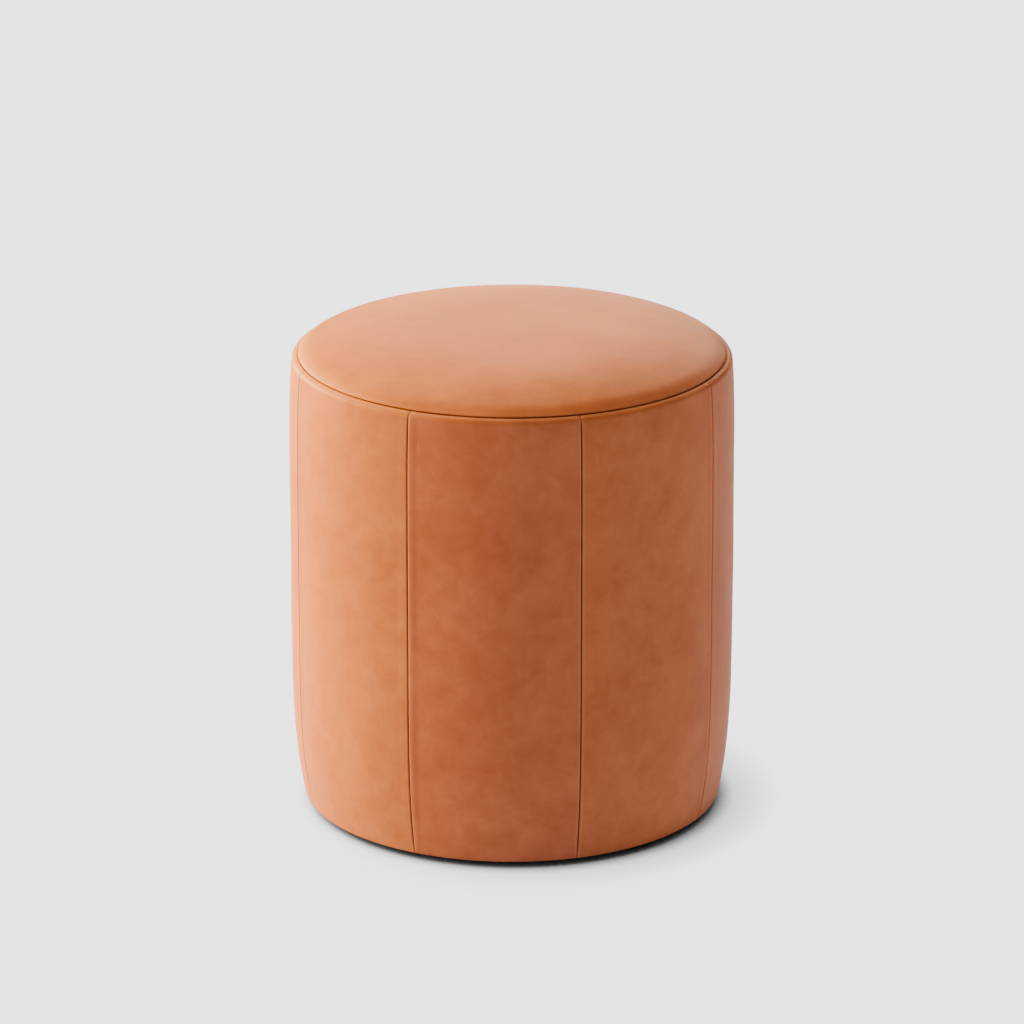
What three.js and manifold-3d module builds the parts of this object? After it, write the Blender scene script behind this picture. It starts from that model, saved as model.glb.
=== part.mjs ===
// Leather drum pouf: a round wooden frame wrapped in foam, under a sewn cover of eight
// upright leather panels and one crowned top panel, standing on four nail-on glides.
// Millimetres, +Z up, origin on the floor under the middle. Panel 1 faces -Y, and the
// other panels follow it counter-clockwise as seen from above.

import * as THREE from 'three';
import { mergeVertices } from 'three/addons/utils/BufferGeometryUtils.js';
import Module from 'manifold-3d';

const wasm = await Module();
wasm.setup();

// Driving dimensions of the outside
const HEIGHT = 456; // floor to the middle of the crown
const BODY_RADIUS = 204; // the widest place, a little below half height
const SEAM_RADIUS = 195.2; // seam between the top panel and the side panels
const SEAM_HEIGHT = 430.4;
const PANELS = 8;
const CROWN_POWER = 3.5; // flat in the middle, rounder towards the seam
const WAIST_LOW = 200; // below this height the side draws in towards the floor
const WAIST_HIGH = 220; // above this one it draws in towards the seam
const LOW_PULL = 11.6;
const LOW_POWER = 3.8;
const HIGH_PULL = 3.3;
const HIGH_POWER = 6;
const ROLL_HEIGHT = 8.4; // the last stretch below the top seam, which rolls inwards
const FOOT_CORNER = 4; // radius where the leather turns under the base

// Materials' thicknesses and clearances
const GAP = 0.3; // between pieces that touch
const LEATHER = 1.4;
const BATTING = 6;
const BASE_PLY = 18;
const TOP_PLY = 15;
const SHELL_PLY = 3.5;
const DUST_CLOTH = 0.8;
const THREAD = 0.6;

// The seams
const ALLOWANCE = 8; // width of leather turned in behind a seam
const GROOVE = 1; // depth of the stitch line below the face of the leather
const SEAM_END = 6; // an upright seam's turned-in edges stop this far from its ends

// The frame
const BOARD_RADIUS = 180;
const VENT_RADIUS = 15;
const POSTS = 6;
const POST_SIZE = 38;
const POST_RADIUS = 155; // from the middle of the pouf to the middle of a post
const SCREW_RADIUS = 2.25;
const SCREW_HEAD = 4.3;
const SCREW_HEAD_DEPTH = 2.6;
const SCREW_LENGTH = 50;
const DRIVE_SIZE = 2.6; // square recess
const DRIVE_DEPTH = 1.8;
const TOP_FOAM = 62;

// What is underneath
const GLIDES = 4;
const GLIDE_RADIUS = 14;
const GLIDE_FLAT = 11; // radius of a glide's flat face
const GLIDE_HEIGHT = 4.8;
const GLIDE_CORNER = 0.8; // how far a glide's rounded corner draws in, where it bends most
const GLIDE_BEND = 1.4; // height of that bend
const GLIDE_SIDE = 3; // above this height a glide's side is upright
const GLIDE_PLACE = 150; // from the middle of the pouf to the middle of a glide
const NAIL_RADIUS = 1.2;
const NAIL_HEAD = 3;
const NAIL_HEAD_HEIGHT = 1;
const NAIL_BASE = 2.1; // height of the underside of the nail's head
const NAIL_TOP = 24;
const NAIL_POINT = 3;
const HEM_RADIUS = 163; // inner edge of the leather turned under the base
const DUST_RADIUS = 172;

// Smoothness
const AROUND = 40; // facets around the body, a multiple of PANELS
const UP_SIDE = 10;
const CROWN_STEPS = 6;
const CORNER_STEPS = 2;
const CROWN_SPACING = 1.5; // above 1, the crown's rings are closer together near the seam
const SCREW_FACETS = 8;
const GLIDE_FACETS = 24;
const VENT_FACETS = 16;

// Bodies that only cut
const PAST = 1; // how far one stands past what it cuts
const JOIN = 0.01; // overlap of two that work as one
const WEDGE_REACH = 1.2 * BODY_RADIUS; // along the edges of the wedge that cuts out a panel

// Heights, from the floor up
const DUST_BOTTOM = GLIDE_HEIGHT + GAP;
const HEM_BOTTOM = DUST_BOTTOM + DUST_CLOTH + GAP;
const BASE_BOTTOM = HEM_BOTTOM + LEATHER + GAP;
const BASE_TOP = BASE_BOTTOM + BASE_PLY;
const FOAM_TOP = HEIGHT - LEATHER - BATTING - 2 * GAP;
const FOAM_BOTTOM = FOAM_TOP - TOP_FOAM;
const DECK_TOP = FOAM_BOTTOM - GAP;
const DECK_BOTTOM = DECK_TOP - TOP_PLY;
const SIDE_TOP = SEAM_HEIGHT - GAP / 2;
const TOP_PANEL_BOTTOM = SEAM_HEIGHT + GAP / 2;

// Radii of what stands between the boards and the leather
const SHELL_INNER = BOARD_RADIUS + GAP;
const SHELL_OUTER = SHELL_INNER + SHELL_PLY;
const WRAP_INNER = SHELL_OUTER + GAP;
const TOP_FOAM_RADIUS = WRAP_INNER - GAP;
const TURNED_IN = SEAM_RADIUS - ALLOWANCE - GAP; // inner edge of the top seam's allowance

const material = (color, roughness, metalness = 0) =>
  new THREE.MeshStandardMaterial({ color, roughness, metalness });
const leather = () => material(0xb26c45, 0.5);
const thread = () => material(0x8a5433, 0.7);
const foam = () => material(0xe9dfb8, 0.95);
const batting = () => material(0xf2f0ea, 1);
const plywood = () => material(0xcfa877, 0.75);
const pine = () => material(0xdcb987, 0.7);
const steel = () => material(0xa9a9a4, 0.35, 0.9);
const nylon = () => material(0x26221f, 0.45);
const dustCloth = () => material(0x1d1c1c, 0.95);

const part = new THREE.Group();

function place(name, geometry, finish, angle = 0) {
  const mesh = new THREE.Mesh(geometry, finish);
  mesh.name = name;
  mesh.rotation.z = angle;
  part.add(mesh);
}

// A closed geometry as a solid for cutting and joining
function solid(geometry) {
  const bare = geometry.clone();
  bare.deleteAttribute('normal');
  bare.deleteAttribute('uv');
  const merged = mergeVertices(bare);
  const index = merged.index.array;
  const corners = [];
  for (let i = 0; i < index.length; i += 3) {
    const [a, b, c] = index.slice(i, i + 3);
    if (a !== b && b !== c && c !== a) corners.push(a, b, c);
  }
  return new wasm.Manifold(new wasm.Mesh({
    numProp: 3,
    vertProperties: new Float32Array(merged.attributes.position.array),
    triVerts: new Uint32Array(corners),
  }));
}

function geometryOf(body) {
  const mesh = body.getMesh();
  const geometry = new THREE.BufferGeometry();
  geometry.setAttribute('position', new THREE.BufferAttribute(new Float32Array(mesh.vertProperties), 3));
  geometry.setIndex(new THREE.BufferAttribute(new Uint32Array(mesh.triVerts), 1));
  geometry.computeVertexNormals();
  return geometry;
}

// A solid of revolution about Z from [radius, height] pairs, up the outside and down the
// inside. Its facets meet on the planes of the upright seams.
function turned(points, facets = AROUND) {
  const outline = points.map(([r, z]) => new THREE.Vector2(r, z));
  if (outline[0].x > 0) outline.push(outline[0].clone());
  return solid(new THREE.LatheGeometry(outline, facets, Math.PI / PANELS).rotateX(Math.PI / 2));
}

// An outline in the radial plane of +X, given a width across that plane from `from` to `to`
function fin(points, from, to) {
  const outline = new THREE.Shape(points.map(([r, z]) => new THREE.Vector2(r, z)));
  const geometry = new THREE.ExtrudeGeometry(outline, { depth: to - from, bevelEnabled: false });
  return solid(geometry.rotateX(Math.PI / 2).translate(0, to, 0));
}

function disc(radius, bottom, top, facets = AROUND) {
  return turned([[0, bottom], [radius, bottom], [radius, top], [0, top]], facets);
}

const spin = (body, angle) => body.rotate([0, 0, THREE.MathUtils.radToDeg(angle)]);

// Direction of the middle of panel number `index`, counted from 0
const panelAngle = (index) => -Math.PI / 2 + (index * 2 * Math.PI) / PANELS;
const around = (count, index, start = -Math.PI / 2) => start + (index * 2 * Math.PI) / count;

// Radius of the face of the side leather at a height
function bodyRadius(z) {
  const low = Math.max(0, (WAIST_LOW - z) / (WAIST_LOW - HEM_BOTTOM));
  const high = Math.max(0, (z - WAIST_HIGH) / (SEAM_HEIGHT - WAIST_HIGH));
  const roll = Math.max(0, (z - SEAM_HEIGHT + ROLL_HEIGHT) / ROLL_HEIGHT);
  const rollPull = BODY_RADIUS - HIGH_PULL - SEAM_RADIUS;
  return BODY_RADIUS - LOW_PULL * low ** LOW_POWER - HIGH_PULL * high ** HIGH_POWER - rollPull * roll ** 2;
}

// The side from the foot corner up to `top`, at a depth below the face of the leather
function sideCurve(depth, top) {
  const centreZ = HEM_BOTTOM + FOOT_CORNER;
  const centreR = bodyRadius(centreZ) - FOOT_CORNER;
  const points = [];
  for (let i = 0; i < CORNER_STEPS; i++) {
    const angle = (i / CORNER_STEPS - 1) * (Math.PI / 2);
    const radius = FOOT_CORNER - depth;
    points.push([centreR + radius * Math.cos(angle), centreZ + radius * Math.sin(angle)]);
  }
  for (let i = 0; i <= UP_SIDE; i++) {
    const z = centreZ + ((top - centreZ) * (1 - Math.cos((Math.PI * i) / UP_SIDE))) / 2;
    points.push([bodyRadius(z) - depth, z]);
  }
  return points;
}

// The crown from radius `rim` in to the axis, at a depth below the face of the leather.
// Every layer bends at the same radii, so the layers stay clear of each other.
function crownCurve(depth, rim) {
  const rise = HEIGHT - SEAM_HEIGHT - GAP / 2;
  const radii = [SEAM_RADIUS, (SEAM_RADIUS + TOP_FOAM_RADIUS) / 2];
  for (let i = 0; i <= CROWN_STEPS; i++) radii.push(TOP_FOAM_RADIUS * (1 - (i / CROWN_STEPS) ** CROWN_SPACING));
  return radii.filter((r) => r <= rim).map((r) => {
    const share = r / SEAM_RADIUS;
    const slope = (rise * CROWN_POWER * share ** (CROWN_POWER - 1)) / SEAM_RADIUS;
    return [r, HEIGHT - rise * share ** CROWN_POWER - depth * Math.hypot(1, slope)];
  });
}

// A strip that follows an upright seam, between two depths below the face of the leather
function seamStrip(shallow, deep, end, from, to) {
  const low = HEM_BOTTOM + end;
  const high = SIDE_TOP - end;
  const face = sideCurve(0, SIDE_TOP).filter(([, z]) => z > low && z < high);
  const line = [[bodyRadius(low), low], ...face, [bodyRadius(high), high]];
  const outer = line.map(([r, z]) => [r - shallow, z]);
  const inner = line.map(([r, z]) => [r - deep, z]).reverse();
  return fin([...outer, ...inner], from, to);
}

// The whole side cover as one ring, with the hem below and the seam allowance above
function coverRing() {
  return turned([
    [HEM_RADIUS, HEM_BOTTOM],
    ...sideCurve(0, SIDE_TOP),
    [TURNED_IN, SIDE_TOP],
    [TURNED_IN, SIDE_TOP - LEATHER],
    ...sideCurve(LEATHER, SIDE_TOP - LEATHER).reverse(),
    [HEM_RADIUS, HEM_BOTTOM + LEATHER],
  ]);
}

// The slice of space that panel 1 has to itself
function panelWedge() {
  const half = Math.PI / PANELS;
  const apex = GAP / 2 / Math.sin(half);
  const outline = new THREE.Shape([
    new THREE.Vector2(0, -apex),
    new THREE.Vector2(-WEDGE_REACH * Math.sin(half), -apex - WEDGE_REACH * Math.cos(half)),
    new THREE.Vector2(WEDGE_REACH * Math.sin(half), -apex - WEDGE_REACH * Math.cos(half)),
  ]);
  return solid(new THREE.ExtrudeGeometry(outline, { depth: HEIGHT, bevelEnabled: false }));
}

function addSidePanels() {
  const half = Math.PI / PANELS;
  const nextSeam = panelAngle(0) + half;
  const lastSeam = panelAngle(0) - half;
  const inset = GAP / 2;
  const rightEdge = spin(seamStrip(LEATHER / 2, ALLOWANCE, SEAM_END, -inset - LEATHER, -inset), nextSeam);
  const leftEdge = spin(seamStrip(LEATHER / 2, ALLOWANCE, SEAM_END, inset, inset + LEATHER), lastSeam);
  const grooveHalf = THREAD / 2 + GAP;
  const groove = seamStrip(-LEATHER, GROOVE, SEAM_END - GAP, -grooveHalf, grooveHalf);
  const panel = coverRing()
    .intersect(panelWedge())
    .add(rightEdge)
    .add(leftEdge)
    .subtract(spin(groove, nextSeam))
    .subtract(spin(groove, lastSeam));
  const geometry = geometryOf(panel);
  for (let i = 0; i < PANELS; i++) {
    place(`side_panel_${i + 1}`, geometry, leather(), (i * 2 * Math.PI) / PANELS);
  }
}

// Each upright seam's stitch line is at the right edge of the panel with its number
function addSideThreads() {
  const line = seamStrip(GROOVE - GAP - THREAD, GROOVE - GAP, SEAM_END, -THREAD / 2, THREAD / 2);
  const geometry = geometryOf(line);
  for (let i = 0; i < PANELS; i++) {
    place(`side_seam_thread_${i + 1}`, geometry, thread(), panelAngle(i + 0.5));
  }
}

function addTopPanel() {
  const face = crownCurve(0, SEAM_RADIUS);
  const back = crownCurve(LEATHER, SEAM_RADIUS).filter(([, z]) => z > TOP_PANEL_BOTTOM + LEATHER);
  const panel = turned([
    ...back.reverse(),
    [TURNED_IN + GAP, TOP_PANEL_BOTTOM + LEATHER],
    [TURNED_IN, TOP_PANEL_BOTTOM + LEATHER],
    [TURNED_IN, TOP_PANEL_BOTTOM],
    ...face,
  ]);
  place('top_panel', geometryOf(panel), leather());
}

// The top seam's stitch line lies in the notch between the crown and the rolled side
function addTopThread() {
  const inner = SEAM_RADIUS + 2 * GAP;
  const low = SEAM_HEIGHT - THREAD / 2;
  const ring = turned([
    [inner, low],
    [inner + THREAD, low],
    [inner + THREAD, low + THREAD],
    [inner, low + THREAD],
  ]);
  place('top_seam_thread', geometryOf(ring), thread());
}

// Foam wrapped round the frame, with a slot for each upright seam's turned-in edges
function addSideFoam() {
  const depth = LEATHER + GAP;
  const top = SIDE_TOP - depth;
  let wrap = turned([[WRAP_INNER, HEM_BOTTOM + depth], ...sideCurve(depth, top), [WRAP_INNER, top]]);
  const slotHalf = GAP / 2 + LEATHER + GAP;
  const slot = seamStrip(-LEATHER, ALLOWANCE + GAP, SEAM_END - GAP, -slotHalf, slotHalf);
  for (let i = 0; i < PANELS; i++) wrap = wrap.subtract(spin(slot, panelAngle(i + 0.5)));
  place('side_foam', geometryOf(wrap), foam());
}

function addTopFoam() {
  const depth = HEIGHT - FOAM_TOP;
  const crown = crownCurve(depth, TOP_FOAM_RADIUS);
  const cushion = turned([[0, FOAM_BOTTOM], [TOP_FOAM_RADIUS, FOAM_BOTTOM], ...crown]);
  place('top_foam', geometryOf(cushion), foam());
}

function addBatting() {
  const under = crownCurve(LEATHER + GAP + BATTING, TOP_FOAM_RADIUS).reverse();
  const over = crownCurve(LEATHER + GAP, TOP_FOAM_RADIUS);
  place('batting_cap', geometryOf(turned([...under, ...over])), batting());
}

// Thin bending plywood bent round both boards, its two ends meeting at the back
function addSideShell() {
  const ring = turned([
    [SHELL_INNER, BASE_BOTTOM],
    [SHELL_OUTER, BASE_BOTTOM],
    [SHELL_OUTER, DECK_TOP],
    [SHELL_INNER, DECK_TOP],
  ]);
  const inner = SHELL_INNER - PAST;
  const outer = SHELL_OUTER + PAST;
  const joint = fin([[inner, 0], [outer, 0], [outer, HEIGHT], [inner, HEIGHT]], -GAP, GAP);
  place('side_shell', geometryOf(ring.subtract(spin(joint, Math.PI / 2))), plywood());
}

// A countersunk wood screw, its head's flat face at z = 0 and its point below
function screwOutline(clearance) {
  const radius = SCREW_RADIUS + clearance;
  const head = SCREW_HEAD + clearance;
  return [
    [0, -SCREW_LENGTH - clearance],
    [radius, -SCREW_LENGTH + 2 * SCREW_RADIUS],
    [radius, -SCREW_HEAD_DEPTH],
    [head, 0],
    [0, 0],
  ];
}

function screw() {
  const drive = new THREE.BoxGeometry(DRIVE_SIZE, DRIVE_SIZE, 2 * DRIVE_DEPTH);
  return turned(screwOutline(0), SCREW_FACETS).subtract(solid(drive));
}

// The hole that a screw needs, open above its head
function screwHole() {
  const open = SCREW_HEAD + GAP;
  return turned(screwOutline(GAP), SCREW_FACETS).add(disc(open, -JOIN, PAST, SCREW_FACETS));
}

const postPlace = (index) => {
  const angle = around(POSTS, index);
  return [POST_RADIUS * Math.cos(angle), POST_RADIUS * Math.sin(angle)];
};

const overPost = (body, index, z) => body.translate([...postPlace(index), z]);
const upsideDown = (body) => body.rotate([180, 0, 0]);

function addScrews() {
  const down = screw();
  const up = upsideDown(down);
  for (let i = 0; i < POSTS; i++) {
    place(`top_screw_${i + 1}`, geometryOf(overPost(down, i, DECK_TOP)), steel());
    place(`base_screw_${i + 1}`, geometryOf(overPost(up, i, BASE_BOTTOM)), steel());
  }
}

function addPosts() {
  const bottom = BASE_TOP + GAP;
  const length = DECK_BOTTOM - GAP - bottom;
  for (let i = 0; i < POSTS; i++) {
    const stock = new THREE.BoxGeometry(POST_SIZE, POST_SIZE, length);
    stock.rotateZ(around(POSTS, i));
    const post = overPost(solid(stock), i, bottom + length / 2)
      .subtract(overPost(screwHole(), i, DECK_TOP))
      .subtract(overPost(upsideDown(screwHole()), i, BASE_BOTTOM));
    place(`post_${i + 1}`, geometryOf(post), pine());
  }
}

const glidePlace = (index) => {
  const angle = around(GLIDES, index, -Math.PI / 4);
  return [GLIDE_PLACE * Math.cos(angle), GLIDE_PLACE * Math.sin(angle), 0];
};

// A glide's nail, from its head up to its point
function nailBody(clearance) {
  const radius = NAIL_RADIUS + clearance;
  const head = NAIL_HEAD + clearance;
  const headTop = NAIL_BASE + NAIL_HEAD_HEIGHT + clearance;
  return turned([
    [0, NAIL_BASE - clearance],
    [head, NAIL_BASE - clearance],
    [head, headTop],
    [radius, headTop],
    [radius, NAIL_TOP - NAIL_POINT + clearance],
    [0, NAIL_TOP + clearance],
  ], SCREW_FACETS);
}

function addGlides() {
  const body = turned([
    [0, 0],
    [GLIDE_FLAT, 0],
    [GLIDE_RADIUS - GLIDE_CORNER, GLIDE_BEND],
    [GLIDE_RADIUS, GLIDE_SIDE],
    [GLIDE_RADIUS, GLIDE_HEIGHT],
    [0, GLIDE_HEIGHT],
  ], GLIDE_FACETS).subtract(nailBody(GAP));
  for (let i = 0; i < GLIDES; i++) {
    place(`glide_${i + 1}`, geometryOf(body.translate(glidePlace(i))), nylon());
    place(`glide_nail_${i + 1}`, geometryOf(nailBody(0).translate(glidePlace(i))), steel());
  }
}

function ventedBoard(bottom, top) {
  const vent = disc(VENT_RADIUS, bottom - PAST, top + PAST, VENT_FACETS);
  return disc(BOARD_RADIUS, bottom, top).subtract(vent);
}

function addBoards() {
  let base = ventedBoard(BASE_BOTTOM, BASE_TOP);
  let deck = ventedBoard(DECK_BOTTOM, DECK_TOP);
  for (let i = 0; i < POSTS; i++) {
    base = base.subtract(overPost(upsideDown(screwHole()), i, BASE_BOTTOM));
    deck = deck.subtract(overPost(screwHole(), i, DECK_TOP));
  }
  for (let i = 0; i < GLIDES; i++) base = base.subtract(nailBody(GAP).translate(glidePlace(i)));
  place('base_board', geometryOf(base), plywood());
  place('top_board', geometryOf(deck), plywood());
}

function addDustCover() {
  let cloth = disc(DUST_RADIUS, DUST_BOTTOM, DUST_BOTTOM + DUST_CLOTH);
  for (let i = 0; i < GLIDES; i++) cloth = cloth.subtract(nailBody(GAP).translate(glidePlace(i)));
  place('dust_cover', geometryOf(cloth), dustCloth());
}

addSidePanels();
addTopPanel();
addSideThreads();
addTopThread();
addBatting();
addTopFoam();
addSideFoam();
addSideShell();
addBoards();
addPosts();
addScrews();
addGlides();
addDustCover();

export default part;
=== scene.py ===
import math

import bmesh
import bpy
from mathutils import Matrix, Vector, noise


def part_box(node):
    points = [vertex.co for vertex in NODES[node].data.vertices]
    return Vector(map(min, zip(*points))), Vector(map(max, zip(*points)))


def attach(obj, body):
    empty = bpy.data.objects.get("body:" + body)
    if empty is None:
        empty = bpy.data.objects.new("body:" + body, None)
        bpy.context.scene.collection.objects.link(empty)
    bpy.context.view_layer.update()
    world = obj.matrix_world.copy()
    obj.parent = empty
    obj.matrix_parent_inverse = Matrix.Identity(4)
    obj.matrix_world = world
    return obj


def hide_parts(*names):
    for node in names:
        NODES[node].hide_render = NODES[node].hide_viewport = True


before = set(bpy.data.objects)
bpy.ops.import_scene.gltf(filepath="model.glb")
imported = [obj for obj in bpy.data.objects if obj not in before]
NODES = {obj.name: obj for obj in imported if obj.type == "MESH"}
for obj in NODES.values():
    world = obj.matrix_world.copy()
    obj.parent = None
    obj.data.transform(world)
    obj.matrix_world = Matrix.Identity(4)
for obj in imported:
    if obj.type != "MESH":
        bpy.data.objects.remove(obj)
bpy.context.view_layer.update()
PANELS = 8
POSTS = 6
GLIDES = 4
MM = 0.001
WELD = 1e-6  # vertices closer than this are made one
FINE_WELD = 1e-7

bl_info = {
    "name": "Leather Drum Pouf",
    "version": (1, 0, 0),
    "blender": (4, 5, 0),
    "location": "View3D > Sidebar > Pouf",
    "description": "Dresses a drum pouf's frame in foam, batting and sewn leather",
    "category": "Object",
}


# ---------------- sizes from the frame

def from_axis(co):
    """Distance of a point from the pouf's axis."""
    return math.hypot(co.x, co.y)


def rim(node):
    """The largest distance of a node's points from the pouf's axis."""
    return max(from_axis(v.co) for v in NODES[node].data.vertices)


def eye(node):
    """The smallest distance of a node's points from the pouf's axis."""
    return min(from_axis(v.co) for v in NODES[node].data.vertices)


PANEL_LOW, PANEL_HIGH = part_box("side_panel_1")
CROWN_LOW, CROWN_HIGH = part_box("top_panel")
HEIGHT = CROWN_HIGH.z
BODY_RADIUS = rim("side_panel_1")
SEAM_RADIUS = rim("top_panel")
SEAM_HEIGHT = (PANEL_HIGH.z + CROWN_LOW.z) / 2
HEM_BOTTOM = PANEL_LOW.z
HEM_RADIUS = eye("side_panel_1")
ALLOWANCE_RADIUS = min(from_axis(v.co) for v in NODES["top_panel"].data.vertices
                       if v.co.z < CROWN_LOW.z + 0.5 * MM)
FACE = math.pi / PANELS  # half a panel, as an angle

# Sizes of the workmanship
TURN_IN = 1.2 * MM  # leather between a seam's edge and the first bend of its allowance
STITCH_DEPTH = 0.9 * MM  # how far behind a fold the stitches run
STRAND = 0.28 * MM  # radius of the sewing thread
FLAT_FOLD = 0.9 * MM  # depth of an allowance that is pressed flat at the hem and the top
WIRE = 0.45 * MM  # radius of a staple's wire
HEM_TACKS = 0.177  # radius of the ring of hem staples
TACK_INSET = 5 * MM  # from the dust cover's edge to its staples
BATTING_FLUFF = 0.35 * MM
FOAM_DENTS = 0.25 * MM

# By panel, where it isn't like the rest: the leather's tone in red, green and blue, and the
# shares of the ridge that stand beside its two seams
EVEN = (1.0, 1.0, 1.0)
TONES = {0: (0.965, 0.945, 1.02), 1: (1.01, 1.02, 1.0), 7: (1.03, 1.05, 1.02),
         4: (0.97, 0.96, 0.95)}
RIDGES = {0: (1.6, 0.9), 1: (0.5, 1.0), 7: (0.9, 0.6)}


def metres(name, description, default):
    return bpy.props.FloatProperty(
        name=name, description=description, default=default, unit="LENGTH", precision=5)


def number(name, description, default):
    return bpy.props.FloatProperty(name=name, description=description, default=default)


def colour(name, description, default):
    return bpy.props.FloatVectorProperty(
        name=name, description=description, default=default, subtype="COLOR", size=3, min=0, max=1)


def heading(name, description, degrees):
    return bpy.props.FloatProperty(
        name=name, description=description, default=math.radians(degrees), subtype="ANGLE")


def amount(name, description, default):
    return bpy.props.IntProperty(name=name, description=description, default=default, min=8)


def direction(name, default):
    return bpy.props.FloatVectorProperty(
        name=name, description="Added to straight up: the side that the floor is lit from",
        default=default, subtype="DIRECTION")


class PoufCover(bpy.types.PropertyGroup):
    """The sewn leather cover."""
    leather: metres("Leather", "Thickness of the hide", 1.4 * MM)
    waist_low: metres("Lower waist", "Height below which the side draws in", 0.200)
    waist_high: metres("Upper waist", "Height above which the side draws in", 0.220)
    low_pull: metres("Lower draw", "How far the side draws in at the floor", 11.6 * MM)
    high_pull: metres("Upper draw", "How far the side draws in towards the top seam", 3.3 * MM)
    roll: metres("Roll", "Height of the stretch that rolls into the top seam", 8.4 * MM)
    foot: metres("Foot corner", "Radius where the leather turns under", 4.0 * MM)
    fold: metres("Seam fold", "Radius of the leather's fold at an upright seam", 1.3 * MM)
    top_fold: metres("Top fold", "Radius of the top leather's fold at its seam", 0.9 * MM)
    shoulder: metres("Shoulder", "Width of the rounded shoulder inside the top seam", 13 * MM)
    shoulder_drop: metres("Shoulder drop", "How far that shoulder drops", 2.6 * MM)
    allowance: metres("Seam allowance", "Leather turned in behind an upright seam", 7.0 * MM)
    gap: metres("Seam gap", "Half the gap between two panels at their seam", 0.15 * MM)
    ridge: metres("Ridge", "How far the allowances lift the leather beside a seam", 0.35 * MM)
    crown_power: number("Crown", "Higher is flatter in the middle and rounder at the seam", 3.3)
    stitch: metres("Stitch length", "Length of one stitch", 4.0 * MM)
    colour: colour("Leather colour", "Middle tone of the hide", (0.465, 0.163, 0.086))
    dark: colour("Dark tone", "Darker cloud of the hide", (0.375, 0.118, 0.059))
    light: colour("Light tone", "Paler cloud of the hide", (0.555, 0.213, 0.117))
    thread: colour("Thread colour", "Sewing thread", (0.20, 0.075, 0.03))


class PoufStuffing(bpy.types.PropertyGroup):
    """The soft layers under the cover."""
    slack: metres("Slack", "Room between the leather and what it covers", 0.9 * MM)
    batting: metres("Batting", "Thickness of the batting over the top foam", 4.6 * MM)
    voxel: metres("Foam voxel", "Mesh size at which the seat foam is simulated", 6 * MM)
    pressure: number("Pressure", "Cloth pressure that fills out the seat foam", 4.0)
    travel: metres("Travel", "Furthest that the simulation may move a point", 0.6 * MM)
    foam: colour("Foam colour", "Seat foam", (0.80, 0.70, 0.42))


class PoufBase(bpy.types.PropertyGroup):
    """What is tacked to the underside."""
    dust_radius: metres("Dust cover", "Radius of the dust cover", 0.172)
    dust_edge: metres("Turned edge", "Width of the dust cover's turned-in edge", 12 * MM)
    dust_cloth: metres("Dust cloth", "Thickness of the dust cover's cloth", 0.3 * MM)
    staple_width: metres("Staple width", "Width of a staple's crown", 10 * MM)
    staple_leg: metres("Staple leg", "Length of a staple's legs", 8 * MM)
    hem_staples: amount("Hem staples", "Staples that hold the leather's hem", 56)
    dust_staples: amount("Dust cover staples", "Staples that hold the dust cover", 24)


class PoufStage(bpy.types.PropertyGroup):
    """Floor, light and camera."""
    azimuth: heading("Camera azimuth", "Camera direction, from the front towards +X", 4.76)
    pitch: heading("Camera pitch", "How far the camera looks down", 19.04)
    distance: metres("Camera distance", "Along the floor from the pouf's axis", 5.304)
    height: metres("Camera height", "Above the floor", 2.106096)
    lens: number("Lens", "Focal length in millimetres on a 36 mm sensor", 214.4)
    key: number("Key light", "Strength of the soft light from behind on the left", 6.6)
    side: number("Side light", "Strength of the soft light from the left", 4.6)
    rear: number("Rear light", "Strength of the soft light from behind", 1.2)
    over: number("Overhead light", "Strength of the soft light from above", 1.0)
    top: number("Top light", "Strength of the soft light from above on the left", 1.5)
    fill: number("Fill light", "Strength of the soft light from the right", 0.55)
    sky: number("Sky", "Strength of the even light all round", 0.14)
    warm: colour("Key colour", "Colour of the light from the left", (1.0, 0.87, 0.44))
    mild: colour("Other lights' colour", "Colour of the rest of the light", (1.0, 0.92, 0.76))
    spread: heading("Spread", "Angular size of each soft light", 40)
    glow: number("Floor glow", "Brightness of the lit floor", 1.365)
    bounce: number("Floor bounce", "Share of the floor's glow that lights the pouf", 0.78)
    floor: colour("Floor colour", "Plain pale floor", (0.97, 0.985, 1.0))
    contact: metres("Contact shadow", "Reach of the dark shadow at the base", 0.022)
    contact_lean: direction("Contact shadow lean", (-0.5, 0.0, -0.13))
    shadow: metres("Soft shadow", "Reach of the soft shadow beside the base", 0.058)
    shadow_lean: direction("Soft shadow lean", (-0.91, 0.30, -0.72))


def cover():
    return bpy.context.scene.pouf_cover


def stuffing():
    return bpy.context.scene.pouf_stuffing


def underside():
    return bpy.context.scene.pouf_base


def stage():
    return bpy.context.scene.pouf_stage


# ---------------- shader expressions

class Term:
    """A shader socket in a Python expression: an operator adds its Math node."""

    def __init__(self, paint, socket):
        self.paint = paint
        self.socket = socket

    def math(self, operation, *others, swap=False):
        terms = [self, *others]
        if swap:
            terms.reverse()
        return self.paint.node("ShaderNodeMath", {"operation": operation}, dict(enumerate(terms)))

    def operator(operation, swap=False):
        """The method that stands for one of Python's operators."""
        return lambda self, other: self.math(operation, other, swap=swap)

    __add__ = operator("ADD")
    __radd__ = operator("ADD", swap=True)
    __sub__ = operator("SUBTRACT")
    __rsub__ = operator("SUBTRACT", swap=True)
    __mul__ = operator("MULTIPLY")
    __rmul__ = operator("MULTIPLY", swap=True)
    __pow__ = operator("POWER")


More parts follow.
